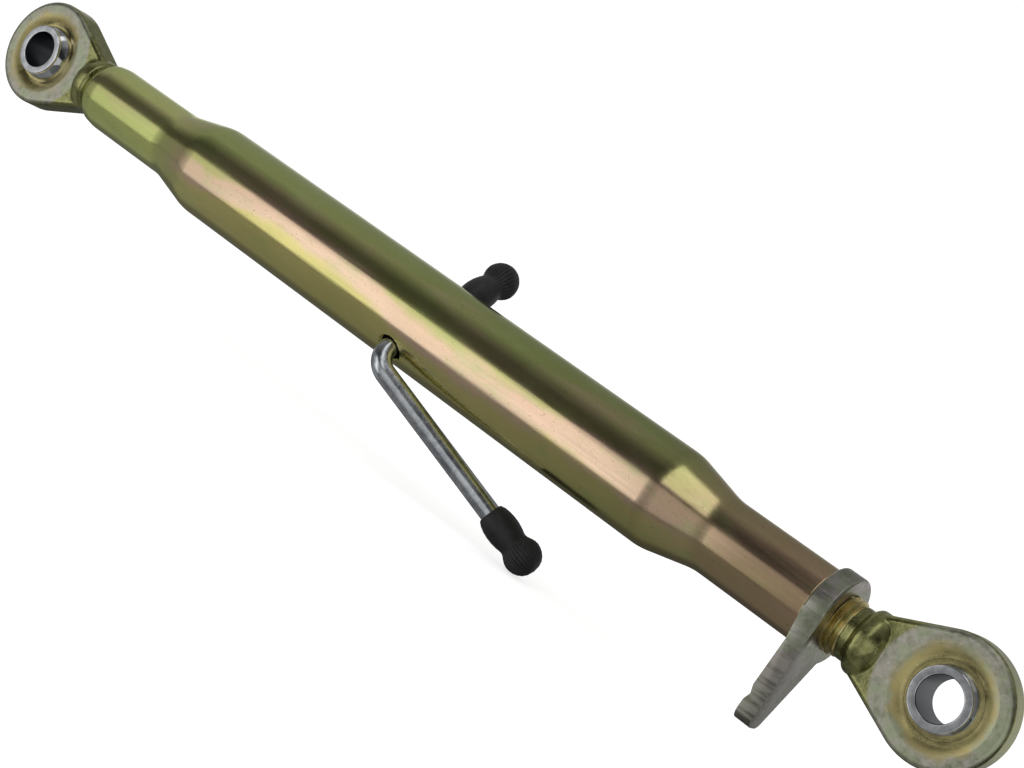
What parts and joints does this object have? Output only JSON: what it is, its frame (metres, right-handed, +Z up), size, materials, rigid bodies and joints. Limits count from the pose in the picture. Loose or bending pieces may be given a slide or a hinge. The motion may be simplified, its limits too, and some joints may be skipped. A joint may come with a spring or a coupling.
{
  "type": "tractor top link",
  "caption": "Adjustable tractor top link: swaged turnbuckle barrel with a ball eye at each end, a folding bar handle through the barrel and a lock nut with a lever",
  "frame": {"origin": "centre of the tractor-end ball, on the axis of its pin bore", "axes": "+X runs along the link from the tractor to the implement, +Y along the pin bores to the side, +Z up"},
  "size_m": [0.6533, 0.0697, 0.1136],
  "materials": {
    "ball_chrome": "polished chrome plating",
    "eye_zinc": "forged steel, yellow passivated zinc",
    "barrel_zinc": "drawn tube, iridescent yellow passivated zinc",
    "nut_zinc": "forged steel, pale passivated zinc",
    "rod_zinc": "bright drawn bar, clear zinc",
    "spring_steel": "oiled spring wire",
    "grip_rubber": "moulded black rubber"
  },
  "bodies": {
    "barrel": {"barrel": "barrel_zinc"},
    "tractor_stop": {"tractor_stop_ring": "spring_steel"},
    "tractor_end": {"tractor_end": "eye_zinc"},
    "tractor_ball": {"tractor_ball": "ball_chrome"},
    "implement_stop": {"implement_stop_ring": "spring_steel"},
    "implement_end": {"implement_end": "eye_zinc"},
    "implement_ball": {"implement_ball": "ball_chrome"},
    "handle": {"handle_rod": "rod_zinc", "front_grip": "grip_rubber", "rear_grip": "grip_rubber"},
    "lock_nut": {"lock_nut": "nut_zinc"}
  },
  "joints": [
    {"name": "tractor_travel", "type": "slide", "parent": "barrel", "child": "tractor_stop", "axis": [-1, 0, 0], "range_m": [0, 0.10805]},
    {"name": "tractor_turn", "type": "hinge", "parent": "tractor_stop", "child": "tractor_end", "pos_m": [0, 0, 0], "axis": [-1, 0, 0], "range_deg": [0, 12960]},
    {"name": "tractor_swing", "type": "hinge", "parent": "tractor_end", "child": "tractor_ball", "pos_m": [0, 0, 0], "axis": [0, 0, 1], "range_deg": [-15, 15]},
    {"name": "implement_travel", "type": "slide", "parent": "barrel", "child": "implement_stop", "axis": [1, 0, 0], "range_m": [0, 0.10805]},
    {"name": "implement_turn", "type": "hinge", "parent": "implement_stop", "child": "implement_end", "pos_m": [0.5957, 0, 0], "axis": [-1, 0, 0], "range_deg": [0, 12961]},
    {"name": "implement_swing", "type": "hinge", "parent": "implement_end", "child": "implement_ball", "pos_m": [0.5957, 0, 0], "axis": [0, 0, 1], "range_deg": [-15, 15]},
    {"name": "handle_swivel", "type": "hinge", "parent": "barrel", "child": "handle", "pos_m": [0.2943, 0, 0], "axis": [0, -0.7071, -0.7071], "continuous": true},
    {"name": "lock_nut_release", "type": "hinge", "parent": "barrel", "child": "lock_nut", "pos_m": [0.5309, 0, 0], "axis": [1, 0, 0], "range_deg": [-90, 0]}
  ],
  "couplings": [
    {"joint": "tractor_travel", "follows": "tractor_turn", "m_per_rad": 0.00047746},
    {"joint": "implement_travel", "follows": "tractor_turn", "m_per_rad": 0.00047746},
    {"joint": "implement_turn", "follows": "tractor_turn", "ratio": 1}
  ]
}
